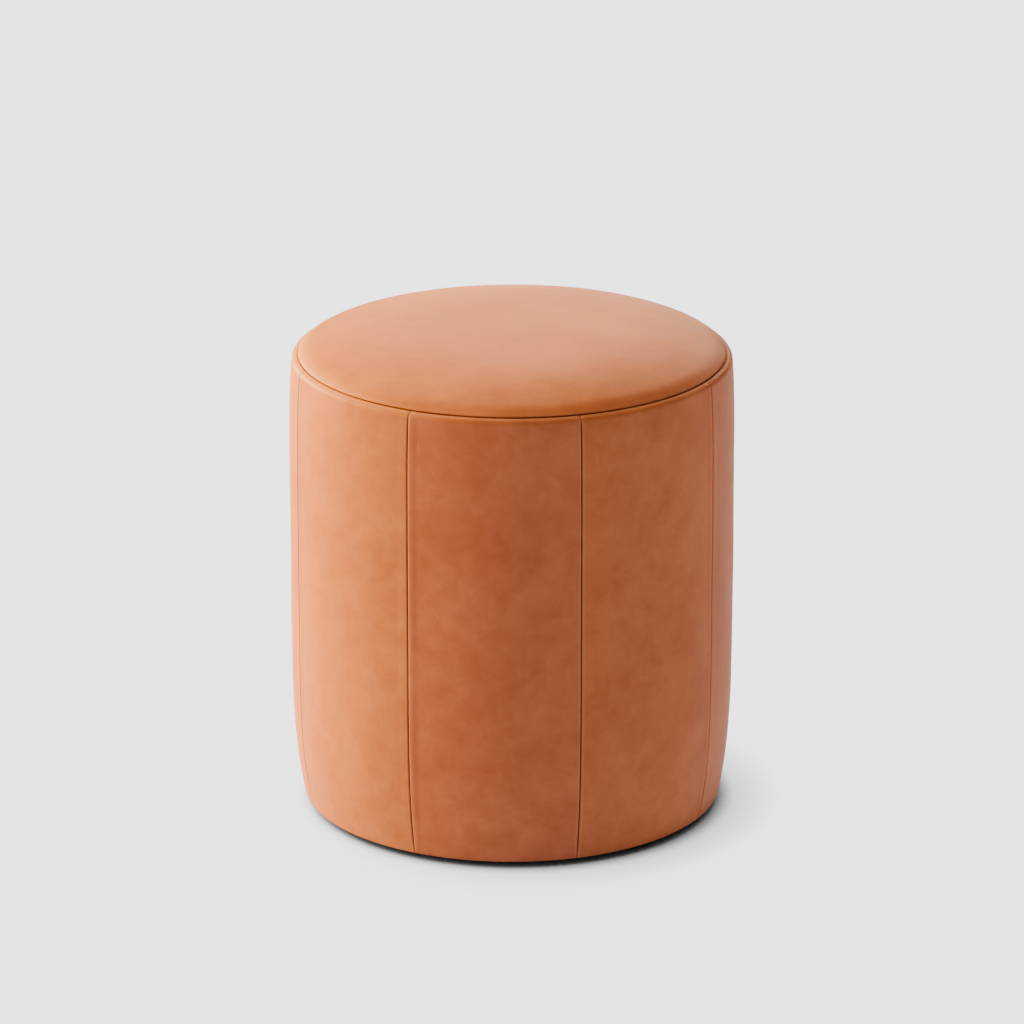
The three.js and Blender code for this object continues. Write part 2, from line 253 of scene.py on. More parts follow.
class Paint:
    """A material being built from nodes."""

    def __init__(self, name):
        self.material = bpy.data.materials.new(name)
        self.material.use_nodes = True
        self.tree = self.material.node_tree
        self.tree.nodes.clear()
        self.output = self.tree.nodes.new("ShaderNodeOutputMaterial")

    def node(self, kind, settings=None, inputs=None, output=0):
        """Adds a node, with its settings first and then its sockets' values or links."""
        made = self.tree.nodes.new(kind)
        for key, value in (settings or {}).items():
            if key == "stops":
                self._stops(made, value)
            else:
                setattr(made, key, value)
        for key, value in (inputs or {}).items():
            socket = made.inputs[key]
            if isinstance(value, Term):
                self.tree.links.new(value.socket, socket)
            elif hasattr(value, "__len__") and socket.type == "RGBA" and len(value) == 3:
                socket.default_value = (*value, 1)
            else:
                socket.default_value = value
        return Term(self, made.outputs[output])

    @staticmethod
    def _stops(made, stops):
        ramp = made.color_ramp
        while len(ramp.elements) < len(stops):
            ramp.elements.new(0.5)
        for element, (position, tone) in zip(ramp.elements, stops):
            element.position = position
            element.color = (*tone, 1) if hasattr(tone, "__len__") else (tone, tone, tone, 1)

    def place(self, scale=(1, 1, 1), offset=(0, 0, 0), turn=(0, 0, 0)):
        """Object coordinates in metres, moved, turned and stretched."""
        here = self.node("ShaderNodeTexCoord", output="Object")
        return self.node("ShaderNodeMapping", inputs={
            "Vector": here, "Location": offset, "Rotation": turn, "Scale": scale})

    def noise(self, vector, scale, detail=3.0, roughness=0.5, distortion=0.0, output="Fac"):
        return self.node("ShaderNodeTexNoise", inputs={
            "Vector": vector, "Scale": scale, "Detail": detail, "Roughness": roughness,
            "Distortion": distortion}, output=output)

    def cells(self, vector, scale, feature="DISTANCE_TO_EDGE", output="Distance", **inputs):
        return self.node("ShaderNodeTexVoronoi", {"feature": feature}, {
            "Vector": vector, "Scale": scale, **inputs}, output=output)

    def ramp(self, value, stops):
        return self.node("ShaderNodeValToRGB", {"stops": stops}, {"Fac": value})

    def mix(self, factor, a, b, blend="MIX"):
        """Mixes two colours."""
        return self.node("ShaderNodeMix", {"data_type": "RGBA", "blend_type": blend}, {
            0: factor, 6: a, 7: b}, output=2)

    def remap(self, value, low, high, to_low=0.0, to_high=1.0):
        return self.node("ShaderNodeMapRange", {"clamp": True}, {
            "Value": value, "From Min": low, "From Max": high, "To Min": to_low,
            "To Max": to_high})

    def attribute(self, name):
        return self.node("ShaderNodeAttribute", {"attribute_name": name}, output="Fac")

    def openness(self, reach, lean):
        """Share of the half sphere round a leaning normal that nothing blocks within reach."""
        upright = self.node("ShaderNodeNewGeometry", output="Normal")
        leaning = self.node("ShaderNodeVectorMath", {"operation": "ADD"}, {0: upright, 1: lean})
        return self.node("ShaderNodeAmbientOcclusion", {"samples": 8}, {
            "Distance": reach, "Normal": leaning}, output="AO")

    def bump(self, height, distance, strength=1.0, normal=None):
        inputs = {"Height": height, "Distance": distance, "Strength": strength}
        if normal is not None:
            inputs["Normal"] = normal
        return self.node("ShaderNodeBump", inputs=inputs)

    def finish(self, **inputs):
        """Ends the material in a Principled BSDF with these sockets."""
        named = {key.replace("_", " "): value for key, value in inputs.items()}
        shader = self.node("ShaderNodeBsdfPrincipled", inputs=named)
        self.tree.links.new(shader.socket, self.output.inputs["Surface"])
        return self.material


# ---------------- materials

# Painted shade for the seam grooves and for the gap under the top seam.
PAINTED_SEAM_SHADE = (0.25, 0.105, 0.07)
# Paler leather on the seams' lips: partly rubbed, pulled leather and partly a painted highlight.
RUBBED_EDGE_AND_HIGHLIGHT = (0.64, 0.31, 0.20)


def leather_material(name, piece, tone):
    """Smooth full-grain hide: clouds, fine grain and faint creases, with painted shade in its seam
    grooves and paler seam lips that are partly rubbed leather and partly a painted highlight.

    piece moves the pattern, because each panel is cut from another place on the hide;
    tone makes the panel a little lighter (above 1) or darker, in red, green and blue.
    """
    look = cover()
    paint = Paint(name)
    shift = (piece * 1.37, piece * 0.71, piece * 0.29)
    here = paint.place(offset=shift)
    clouds = paint.noise(here, 15, detail=3, roughness=0.5, distortion=0.3)
    blotches = paint.noise(here, 55, detail=4, roughness=0.55, distortion=0.5)
    specks = paint.noise(here, 420, detail=4, roughness=0.7)
    cells = paint.cells(here, 620)
    fine = paint.noise(here, 900, detail=2, roughness=0.6)
    veins = paint.cells(paint.place(scale=(1.0, 1.0, 0.45), offset=shift), 26)
    crease = paint.remap(veins, 0.0, 0.02, 1.0, 0.0) * paint.remap(clouds, 0.5, 0.68)

    mottle = clouds * 0.4 + blotches * 0.4 + specks * 0.2
    base = paint.mix(paint.remap(mottle, 0.36, 0.64), tuple(look.dark), tuple(look.light))
    base = paint.mix(0.5, base, tuple(look.colour))
    base = paint.mix(paint.remap(specks, 0.50, 0.70, 0.0, 0.32), base, tuple(look.dark))
    base = paint.mix(crease * 0.10, base, tuple(look.dark))
    # Painted shade darkens the seam grooves and the gap under the top seam.
    groove = paint.attribute("groove")
    worn = paint.attribute("worn")
    base = paint.mix(groove * 0.6, base, PAINTED_SEAM_SHADE)
    # Paler seam lips: partly rubbed leather, partly a painted highlight.
    base = paint.mix(worn * 0.55, base, RUBBED_EDGE_AND_HIGHLIGHT)
    base = paint.mix(1.0, base, tone, blend="MULTIPLY")

    roughness = paint.remap(blotches, 0.3, 0.7, 0.44, 0.54) + groove * 0.2
    height = paint.remap(cells, 0.0, 0.35) * 0.6 + fine * 0.4
    grain = paint.bump(height, 0.12 * MM, 0.35)
    grain = paint.bump(blotches, 1.2 * MM, 0.25, grain)
    grain = paint.bump(1 - crease, 0.25 * MM, 0.3, grain)
    return paint.finish(
        Base_Color=base, Roughness=roughness, Normal=grain, Specular_IOR_Level=0.13)


def thread_material():
    """Bonded twisted thread."""
    look = cover()
    paint = Paint("sewing_thread")
    here = paint.place()
    twist = paint.node("ShaderNodeTexWave", {"bands_direction": "DIAGONAL"}, {
        "Vector": here, "Scale": 900.0, "Distortion": 1.0})
    fuzz = paint.noise(here, 1500)
    base = paint.mix(twist * 0.5 + fuzz * 0.2, tuple(look.thread), (0.33, 0.14, 0.06))
    return paint.finish(Base_Color=base, Roughness=0.6, Normal=paint.bump(twist, 0.1 * MM, 0.5))


def foam_material(name, tone):
    """Open-cell polyurethane foam: pores of about a millimetre."""
    paint = Paint(name)
    here = paint.place()
    pores = paint.cells(here, 700)
    big = paint.cells(here, 260)
    clouds = paint.noise(here, 14)
    base = paint.mix(paint.remap(pores, 0.0, 0.3), tuple(c * 0.62 for c in tone), tone)
    base = paint.mix(clouds * 0.2, base, (0.74, 0.60, 0.30))
    height = paint.remap(pores, 0.0, 0.3) * 0.7 + paint.remap(big, 0.0, 0.2) * 0.3
    return paint.finish(Base_Color=base, Roughness=0.95, Normal=paint.bump(height, 0.8 * MM, 0.8))


def batting_material():
    """Fluffy polyester fibres."""
    paint = Paint("polyester_batting")
    fibres = paint.noise(
        paint.place(scale=(1, 1, 4)), 420, detail=6, roughness=0.7, distortion=2.5)
    clumps = paint.noise(paint.place(), 45, detail=4)
    base = paint.mix(fibres, (0.78, 0.77, 0.74), (0.93, 0.93, 0.91))
    height = fibres * 0.6 + clumps * 0.4
    return paint.finish(
        Base_Color=base, Roughness=0.95, Normal=paint.bump(height, 1.5 * MM, 0.8),
        Sheen_Weight=0.3, Sheen_Roughness=0.5)


def plywood_material(name, upright):
    """Birch plywood: grain on the faces and plies on the edges, with upright or level plies."""
    paint = Paint(name)
    stretch = (1, 14, 1) if not upright else (14, 14, 1)
    grain = paint.noise(paint.place(scale=stretch), 22, detail=6, roughness=0.65, distortion=0.8)
    pores = paint.noise(paint.place(scale=(1, 30, 1)), 160, detail=2)
    face = paint.ramp(grain, [(0.25, (0.42, 0.26, 0.12)), (0.5, (0.60, 0.41, 0.21)),
                              (0.75, (0.72, 0.53, 0.30))])
    face = paint.mix(paint.remap(pores, 0.55, 0.7, 0, 0.3), face, (0.33, 0.19, 0.09))
    plies = paint.node("ShaderNodeTexWave", {"bands_direction": "Z", "wave_profile": "SAW"}, {
        "Vector": paint.place(), "Scale": 52.0, "Distortion": 0.6, "Detail": 2.0,
        "Detail Scale": 6.0})
    layers = paint.ramp(plies, [(0.0, (0.30, 0.17, 0.08)), (0.12, (0.52, 0.34, 0.17)),
                                (0.55, (0.66, 0.47, 0.26)), (0.6, (0.38, 0.23, 0.11))])
    side = paint.node("ShaderNodeSeparateXYZ", inputs={
        "Vector": paint.node("ShaderNodeNewGeometry", output="Normal")}, output="Z")
    level = paint.remap(side.math("ABSOLUTE"), 0.4, 0.6)
    base = face if upright else paint.mix(level, layers, face)
    return paint.finish(Base_Color=base, Roughness=0.7, Normal=paint.bump(grain, 0.3 * MM, 0.4))


def pine_material():
    """Planed softwood with upright growth rings and a few knots."""
    paint = Paint("planed_pine")
    here = paint.place(scale=(1, 1, 0.06))
    rings = paint.node("ShaderNodeTexWave", {"wave_type": "RINGS", "rings_direction": "Z"}, {
        "Vector": paint.place(scale=(1, 1, 0.05), offset=(0.03, 0.05, 0)), "Scale": 55.0,
        "Distortion": 3.0, "Detail": 3.0, "Detail Scale": 1.6})
    fibre = paint.noise(here, 500, detail=3)
    knots = paint.remap(paint.cells(paint.place(scale=(1, 1, 0.5)), 9, feature="F1"), 0.02, 0.10)
    base = paint.mix(rings, (0.74, 0.52, 0.28), (0.56, 0.33, 0.14))
    base = paint.mix(fibre * 0.25, base, (0.80, 0.62, 0.38))
    base = paint.mix(1 - knots, base, (0.20, 0.09, 0.035))
    return paint.finish(Base_Color=base, Roughness=0.62, Normal=paint.bump(fibre, 0.2 * MM, 0.4))


def steel_material():
    """Zinc-plated steel with a faint yellow passivation and fine scratches, made only once."""
    made = bpy.data.materials.get("zinc_plated_steel")
    if made:
        return made
    paint = Paint("zinc_plated_steel")
    clouds = paint.noise(paint.place(), 300, detail=4)
    scratches = paint.noise(paint.place(scale=(1, 1, 20)), 900, detail=2)
    base = paint.mix(clouds, (0.58, 0.56, 0.50), (0.72, 0.70, 0.62))
    rough = paint.remap(scratches, 0.3, 0.7, 0.28, 0.45)
    return paint.finish(Base_Color=base, Metallic=1.0, Roughness=rough,
                        Normal=paint.bump(scratches, 0.05 * MM, 0.3))


def nylon_material():
    """Moulded nylon, scuffed where it slides."""
    paint = Paint("moulded_nylon")
    here = paint.place()
    texture = paint.noise(here, 1400, detail=2)
    scuffs = paint.noise(
        paint.place(scale=(1, 9, 1), turn=(0, 0, 0.6)), 260, detail=5, roughness=0.7)
    low = paint.remap(paint.node("ShaderNodeSeparateXYZ", inputs={"Vector": here}, output="Z"),
                      0.0, 1.2 * MM, 1.0, 0.0)
    worn = low * paint.remap(scuffs, 0.5, 0.62)
    base = paint.mix(worn * 0.6, (0.018, 0.016, 0.015), (0.12, 0.115, 0.11))
    return paint.finish(
        Base_Color=base, Roughness=worn * 0.25 + 0.42, Normal=paint.bump(texture, 0.06 * MM, 0.4))


def dust_cloth_material():
    """Black spun-bonded cloth with its grid of weld points."""
    paint = Paint("black_dust_cloth")
    here = paint.place()
    fibres = paint.noise(here, 800, detail=5, roughness=0.75, distortion=3)
    welds = paint.cells(here, 480, feature="F1", Randomness=0.15)
    dots = paint.remap(welds, 0.18, 0.3, 1.0, 0.0)
    base = paint.mix(fibres, (0.010, 0.010, 0.011), (0.030, 0.030, 0.032))
    base = paint.mix(dots * 0.5, base, (0.045, 0.045, 0.048))
    height = fibres * 0.5 - dots * 0.5
    return paint.finish(Base_Color=base, Roughness=0.85, Normal=paint.bump(height, 0.3 * MM, 0.6))


def floor_material():
    """A pale floor that glows evenly: black at the base, softly shaded on one side of it."""
    look = stage()
    paint = Paint("studio_floor")
    darkest = 0.012
    contact = paint.remap(
        paint.openness(look.contact, look.contact_lean), 0.27, 0.80, darkest, 1.0)
    soft = paint.openness(look.shadow, look.shadow_lean) ** 0.8
    seen = paint.node("ShaderNodeLightPath", output="Is Camera Ray")
    share = contact * soft * (seen * (1 - look.bounce) + look.bounce)
    return paint.finish(
        Base_Color=tuple(c * 0.035 for c in look.floor), Roughness=0.9, Specular_IOR_Level=0.0,
        Emission_Color=paint.mix(share, (0, 0, 0), tuple(look.floor)), Emission_Strength=look.glow)


# ---------------- mesh helpers

def piece_from(name, bm, material, smooth=True):
    """A finished bmesh as an object at the origin."""
    mesh = bpy.data.meshes.new(name)
    bm.to_mesh(mesh)
    bm.free()
    mesh.materials.append(material)
    if smooth:
        mesh.shade_smooth()
    piece = bpy.data.objects.new(name, mesh)
    bpy.context.scene.collection.objects.link(piece)
    return piece


def settle(piece, slot, *nodes):
    """Puts a finished piece on the frame in place of its CAD nodes."""
    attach(piece, "root")
    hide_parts(*nodes)


def chain(bm, points):
    """An open row of edges through (radius, height) points in the plane of -Y."""
    verts = [bm.verts.new((0, -r, z)) for r, z in points]
    for a, b in zip(verts, verts[1:]):
        bm.edges.new((a, b))
    return verts


def turn_full(bm, steps):
    """Spins what the bmesh holds into a full ring with its normals outside."""
    bmesh.ops.spin(bm, geom=bm.verts[:] + bm.edges[:], cent=(0, 0, 0), axis=(0, 0, 1),
                   angle=2 * math.pi, steps=steps, use_merge=True)
    bmesh.ops.remove_doubles(bm, verts=bm.verts, dist=WELD)
    bmesh.ops.recalc_face_normals(bm, faces=bm.faces)


def smoothstep(x, low, high):
    """0 below low, 1 above high and an S curve between them."""
    t = min(1.0, max(0.0, (x - low) / (high - low)))
    return t * t * (3 - 2 * t)


def band(x, start, full, fade, end):
    """0 outside start and end, and 1 between full and fade."""
    return smoothstep(x, start, full) * (1 - smoothstep(x, fade, end))


def side_radius(z):
    """Radius of the face of the side leather at a height."""
    look = cover()
    low = max(0.0, (look.waist_low - z) / (look.waist_low - HEM_BOTTOM))
    high = max(0.0, (z - look.waist_high) / (SEAM_HEIGHT - look.waist_high))
    roll = max(0.0, (z - SEAM_HEIGHT + look.roll) / look.roll)
    roll_pull = BODY_RADIUS - look.high_pull - SEAM_RADIUS
    return (BODY_RADIUS - look.low_pull * low ** 3.8 - look.high_pull * high ** 6
            - roll_pull * roll ** 5)


def side_profile(step=3 * MM):
    """The side leather's face from the hem's edge, round the foot, up and into the top seam."""
    look = cover()
    centre_z = HEM_BOTTOM + look.foot
    centre_r = side_radius(centre_z) - look.foot
    hem = 9
    points = [(HEM_RADIUS + (centre_r - HEM_RADIUS) * i / hem, HEM_BOTTOM) for i in range(hem)]
    for i in range(7):
        angle = math.pi / 2 * (i / 6 - 1)
        points.append((centre_r + look.foot * math.cos(angle),
                       centre_z + look.foot * math.sin(angle)))
    top = SEAM_HEIGHT - look.roll
    rows = round((top - centre_z) / step)
    heights = [centre_z + (top - centre_z) * i / rows for i in range(1, rows + 1)]
    heights += [top + look.roll * (1 - (1 - i / 14) ** 1.5) for i in range(1, 14)]
    points += [(side_radius(z), z) for z in heights]
    edge = SEAM_HEIGHT - look.gap
    bend = SEAM_RADIUS - TURN_IN
    points += [(SEAM_RADIUS, edge), (bend, edge)]
    points += [(bend - (bend - ALLOWANCE_RADIUS) * i / 3, edge) for i in range(1, 4)]
    return points


def seam_columns(half):
    """Distances along the leather from a panel's seam, out of the allowance to the middle."""
    look = cover()
    turn = look.fold * math.pi / 2
    columns = [-look.allowance, -look.allowance / 2, -TURN_IN, 0]
    columns += [turn * i / 5 for i in range(1, 6)]
    at = turn
    step = 0.5 * MM
    while at + step < half - 1.5 * MM:
        at += step
        columns.append(at)
        step = min(3 * MM, step * 1.25)
    return columns


def wander(place, seed, size):
    """Smooth random value from -1 to 1 that changes over about size metres."""
    return noise.noise(Vector(place) / size + Vector((seed * 7.3, seed * 3.1, seed * 5.7)))


def fold_shape(t, r, half):
    """Arc from the seam's plane and depth behind the face, at t along the leather from a seam."""
    look = cover()
    turn = look.fold * math.pi / 2
    if t < 0:
        return look.gap, look.fold - t
    if t < turn:
        angle = t / look.fold
        return (look.gap + look.fold * (1 - math.cos(angle)),
                look.fold * (1 - math.sin(angle)))
    return look.gap + look.fold + (t - turn) * (FACE * r) / half, 0.0


def face_lift(seam_t, r, z, azimuth, index, share, ends):
    """How far the leather stands proud of its even face: ridge, ripples, pucker and gathers."""
    look = cover()
    lift = 0.0
    if share:
        swell = band(seam_t, 0.5 * MM, 2.4 * MM, 5 * MM, 10 * MM)
        lift = look.ridge * share * swell * ends
    face = Vector((math.cos(azimuth) * r, math.sin(azimuth) * r, z))
    on_side = smoothstep(z, HEM_BOTTOM + 6 * MM, HEM_BOTTOM + 30 * MM)
    free = smoothstep(seam_t, 1 * MM, 14 * MM)
    lift += on_side * free * (
        0.45 * MM * wander(face, 1, 0.085) + 0.16 * MM * wander(face, 2, 0.03))
    lift -= pucker(seam_t, z)
    lift += hem_pleat(face, r, z, index)
    return lift


def side_panel_mesh(index):
    """One upright panel, with its folds, allowances and hem, as a sheet without thickness."""
    look = cover()
    half = FACE * BODY_RADIUS
    columns = seam_columns(half)
    across = [(-1, t) for t in columns] + [(0, half)] + [(1, t) for t in reversed(columns)]
    profile = side_profile()
    normals = profile_normals(profile)
    bm = bmesh.new()
    chain(bm, profile)
    bmesh.ops.spin(bm, geom=bm.verts[:] + bm.edges[:], cent=(0, 0, 0), axis=(0, 0, 1),
                   angle=2 * FACE, steps=len(across) - 1, use_merge=False)
    bm.verts.ensure_lookup_table()
    groove = bm.verts.layers.float.new("groove")
    worn = bm.verts.layers.float.new("worn")
    deepest = look.fold + look.allowance
    shares = RIDGES.get(index, (1.0, 1.0))
    middle = index * 2 * FACE - math.pi / 2
    for place, vert in enumerate(bm.verts):
        column, row = divmod(place, len(profile))
        hand, seam_t = across[column]
        r, z = profile[row]
        arc, depth = fold_shape(seam_t, r, half) if hand else (FACE * r, 0.0)
        ends = band(z, HEM_BOTTOM + 3 * MM, HEM_BOTTOM + 16 * MM,
                    SEAM_HEIGHT - 10 * MM, SEAM_HEIGHT - 2 * MM)
        depth *= (FLAT_FOLD + (deepest - FLAT_FOLD) * ends) / deepest
        turned = arc / r if hand else FACE
        azimuth = middle + (-FACE + turned if hand <= 0 else FACE - turned)
        share = shares[hand > 0] if hand else 0.0
        proud = face_lift(seam_t, r, z, azimuth, index, share, ends) - depth
        r += normals[row][0] * proud
        z += normals[row][1] * proud
        vert.co = (math.cos(azimuth) * r, math.sin(azimuth) * r, z)
        # Where painted shade darkens the seam's fold and the gap just under the top seam.
        into = 1 - smoothstep(seam_t, 0.1 * MM, 1.0 * MM) if hand else 0.0
        top = smoothstep(z, SEAM_HEIGHT - 0.45 * MM, SEAM_HEIGHT - 0.15 * MM)
        vert[groove] = max(into, top)
        # Paler beside the fold and just under the top seam: partly rubbed leather, partly a
        # painted highlight.
        near = band(seam_t, 0.8 * MM, 1.4 * MM, 2.4 * MM, 4.5 * MM) if hand else 0.0
        lip = smoothstep(z, SEAM_HEIGHT - 1.7 * MM, SEAM_HEIGHT - 0.7 * MM) * (1 - top)
        vert[worn] = max(0.25 * near, 0.6 * lip)
    return bm


def profile_normals(profile):
    """Unit normals of a profile that point out of the body."""
    normals = []
    for i in range(len(profile)):
        a = profile[max(0, i - 1)]
        b = profile[min(len(profile) - 1, i + 1)]
        dr, dz = b[0] - a[0], b[1] - a[1]
        length = math.hypot(dr, dz)
        normals.append((dz / length, -dr / length))
    return normals


def pucker(seam_t, z):
    """How far the leather is pulled in where an upright seam runs into the top seam."""
    away = math.hypot(max(0.0, seam_t) / (3.5 * MM), (SEAM_HEIGHT - z) / (4 * MM))
    return 0.35 * MM * math.exp(-away * away)


def hem_pleat(face, r, z, index):
    """Small gathers of the hem, which lies on a smaller circle than the side."""
    if z > HEM_BOTTOM + 0.1 * MM:
        return 0.0
    azimuth = math.atan2(face.y, face.x)
    wave = math.sin(azimuth * 88 + 1.5 * math.sin(azimuth * 13 + index))
    foot = side_radius(HEM_BOTTOM)
    return 0.35 * MM * wave * band(
        r, HEM_RADIUS, HEM_RADIUS + 10 * MM, foot - 12 * MM, foot - 5 * MM)


def thicken(bm, thickness):
    """Gives an open sheet its thickness on the inside, and closes its edges."""
    bmesh.ops.recalc_face_normals(bm, faces=bm.faces)
    middle = sum((f.calc_center_median() for f in bm.faces), Vector()) / len(bm.faces)
    outside = sum(f.normal.dot(f.calc_center_median() - Vector((0, 0, middle.z))) * f.calc_area()
                  for f in bm.faces)
    if outside < 0:
        bmesh.ops.reverse_faces(bm, faces=bm.faces)
    bm.normal_update()
    bmesh.ops.solidify(bm, geom=bm.faces[:], thickness=thickness)
    bmesh.ops.remove_doubles(bm, verts=bm.verts, dist=FINE_WELD)
    bmesh.ops.recalc_face_normals(bm, faces=bm.faces)


def side_cut():
    """Width and length of the flat piece of leather for one side panel."""
    look = cover()
    width = 2 * FACE * BODY_RADIUS + 2 * (look.allowance + look.fold * (math.pi / 2 - 1))
    return width, profile_length(side_profile())


def profile_length(points):
    return sum(math.dist(a, b) for a, b in zip(points, points[1:]))


def make_side_panels():
    """The eight upright panels of the cover."""
    for index in range(PANELS):
        bm = side_panel_mesh(index)
        thicken(bm, cover().leather)
        material = leather_material(
            f"side_leather_{index + 1}", index + 1, TONES.get(index, EVEN))
        piece = piece_from(f"leather_side_{index + 1}", bm, material)
        settle(piece, "leather", f"side_panel_{index + 1}")
        side_cut()


# ---------------- the top panel

def crown_profile():
    """The top leather's face from the middle out, round the fold and in under the seam."""
    look = cover()
    fold = look.top_fold
    centre = (SEAM_RADIUS - fold, SEAM_HEIGHT + look.gap + fold)
    tilt = math.radians(50)
    shoulder = (centre[0] + fold * math.cos(tilt), centre[1] + fold * math.sin(tilt))
    rise = HEIGHT - shoulder[1] - look.shoulder_drop
    rings = 66
    points = []
    for i in range(rings):
        r = shoulder[0] * (1 - (1 - i / rings) ** 1.25)
        bend = max(0.0, 1 - (shoulder[0] - r) / look.shoulder)
        points.append((r, HEIGHT - rise * (r / shoulder[0]) ** look.crown_power
                       - look.shoulder_drop * bend ** 2))
    for i in range(9):
        angle = tilt - (tilt + math.pi / 2) * i / 8
        points.append((centre[0] + fold * math.cos(angle), centre[1] + fold * math.sin(angle)))
    low = SEAM_HEIGHT + look.gap
    points += [(centre[0] - (centre[0] - ALLOWANCE_RADIUS) * i / 3, low) for i in range(1, 4)]
    return points


def make_top_panel():
    """The crowned round of leather that closes the top."""
    profile = crown_profile()
    bm = bmesh.new()
    chain(bm, profile)
    turn_full(bm, 192)
    groove = bm.verts.layers.float.new("groove")
    worn = bm.verts.layers.float.new("worn")
    for vert in bm.verts:
        r = from_axis(vert.co)
        edge = smoothstep(r, SEAM_RADIUS - 60 * MM, SEAM_RADIUS - 4 * MM)
        on_face = 1 - smoothstep(SEAM_HEIGHT + 4 * MM - vert.co.z, 0, 3 * MM)
        azimuth = math.atan2(vert.co.y, vert.co.x)
        lift = 0.5 * MM * wander(vert.co, 3, 0.09) + 0.18 * MM * wander(vert.co, 4, 0.03)
        lift += 0.22 * MM * edge * wander((math.cos(azimuth), math.sin(azimuth), 0), 5, 0.09)
        vert.co.z += lift * on_face * smoothstep(SEAM_RADIUS - r, 2 * MM, 14 * MM)
        # Painted shade under the top fold, and a paler rim inside the seam that is partly rubbed
        # leather and partly a painted highlight.
        low = 1 - smoothstep(vert.co.z, SEAM_HEIGHT + 0.2 * MM, SEAM_HEIGHT + 0.45 * MM)
        vert[groove] = low
        vert[worn] = 0.2 * smoothstep(r, SEAM_RADIUS - 4 * MM, SEAM_RADIUS - 1 * MM) * (1 - low)
    thicken(bm, cover().leather)
    piece = piece_from("leather_top", bm, leather_material("top_leather", 0.4, EVEN))
    settle(piece, "leather", "top_panel")


# ---------------- sewing

def rod(bm, a, b, radius, segments=6):
    """A short round bar between two points."""
    along = b - a
    matrix = Matrix.Translation((a + b) / 2) @ along.to_track_quat("Z", "Y").to_matrix().to_4x4()
    bmesh.ops.create_cone(bm, cap_ends=True, segments=segments, radius1=radius, radius2=radius,
                          depth=along.length, matrix=matrix)


def lockstitches(holes, across, closed=False):
    """A row of lockstitches: a strand through each hole and a run on each side between holes."""
    look = cover()
    bm = bmesh.new()
    reach = look.gap + look.leather + STRAND
    count = len(holes)
    for i, (hole, side) in enumerate(zip(holes, across)):
        rod(bm, hole - side * reach, hole + side * reach, STRAND)
        if i + 1 < count or closed:
            after, other = holes[(i + 1) % count], across[(i + 1) % count]
            for hand in (-reach, reach):
                rod(bm, hole + side * hand, after + other * hand, STRAND * 1.15)
    return bm


def make_side_threads():
    """The stitches of the eight upright seams."""
    look = cover()
    material = thread_material()
    depth = look.fold + STITCH_DEPTH
    low, high = HEM_BOTTOM + 14 * MM, SEAM_HEIGHT - 7 * MM
    count = round((high - low) / look.stitch)
    for k in range(PANELS):
        azimuth = -math.pi / 2 + (2 * k + 1) * FACE
        out = Vector((math.cos(azimuth), math.sin(azimuth), 0))
        side = Vector((-out.y, out.x, 0))
        holes = []
        for i in range(count + 1):
            z = low + (high - low) * i / count
            holes.append(out * (side_radius(z) - depth) + Vector((0, 0, z)))
        bm = lockstitches(holes, [side] * len(holes))
        piece = piece_from(f"upright_stitches_{k + 1}", bm, material)
        settle(piece, "thread", f"side_seam_thread_{k + 1}")


def make_top_thread():
    """The stitches of the seam round the top."""
    look = cover()
    radius = SEAM_RADIUS - look.fold - STITCH_DEPTH
    count = round(2 * math.pi * radius / look.stitch)
    holes = [Vector((radius * math.cos(a), radius * math.sin(a), SEAM_HEIGHT))
             for a in (2 * math.pi * i / count for i in range(count))]
    bm = lockstitches(holes, [Vector((0, 0, 1))] * count, closed=True)
    settle(piece_from("top_stitches", bm, thread_material()), "thread", "top_seam_thread")


# ---------------- stuffing

def fill_out(piece, held, travel):
    """Lets cloth pressure fill a piece out by at most travel; held(co) says what stays put."""
    look = stuffing()
    group = piece.vertex_groups.new(name="held")
    before = [v.co.copy() for v in piece.data.vertices]
    group.add([i for i, co in enumerate(before) if held(co)], 1.0, "ADD")
    modifier = piece.modifiers.new("fill", "CLOTH")
    cloth = modifier.settings
    cloth.vertex_group_mass = group.name
    cloth.use_pressure = True
    cloth.uniform_pressure_force = look.pressure
    cloth.effector_weights.gravity = 0
    cloth.tension_stiffness = 40
    cloth.compression_stiffness = 40
    cloth.bending_stiffness = 2
    modifier.collision_settings.use_collision = False
    modifier.point_cache.frame_start = 1
    modifier.point_cache.frame_end = 20
    scene = bpy.context.scene
    for frame_number in range(1, 21):
        scene.frame_set(frame_number)
    shown = piece.evaluated_get(bpy.context.evaluated_depsgraph_get())
    after = [v.co.copy() for v in shown.data.vertices]
    piece.modifiers.clear()
    piece.vertex_groups.clear()
    scene.frame_set(1)
    for vert, start, end in zip(piece.data.vertices, before, after):
        move = end - start
        vert.co = start + move * (travel / max(travel, move.length))
    piece.data.update()


def apply_modifier(piece, kind, **settings):
    """Adds a modifier to a piece and makes its result the mesh."""
    modifier = piece.modifiers.new(kind.lower(), kind)
    for key, value in settings.items():
        setattr(modifier, key, value)
    shown = piece.evaluated_get(bpy.context.evaluated_depsgraph_get())
    mesh = bpy.data.meshes.new_from_object(shown)
    piece.modifiers.clear()
    piece.data = mesh


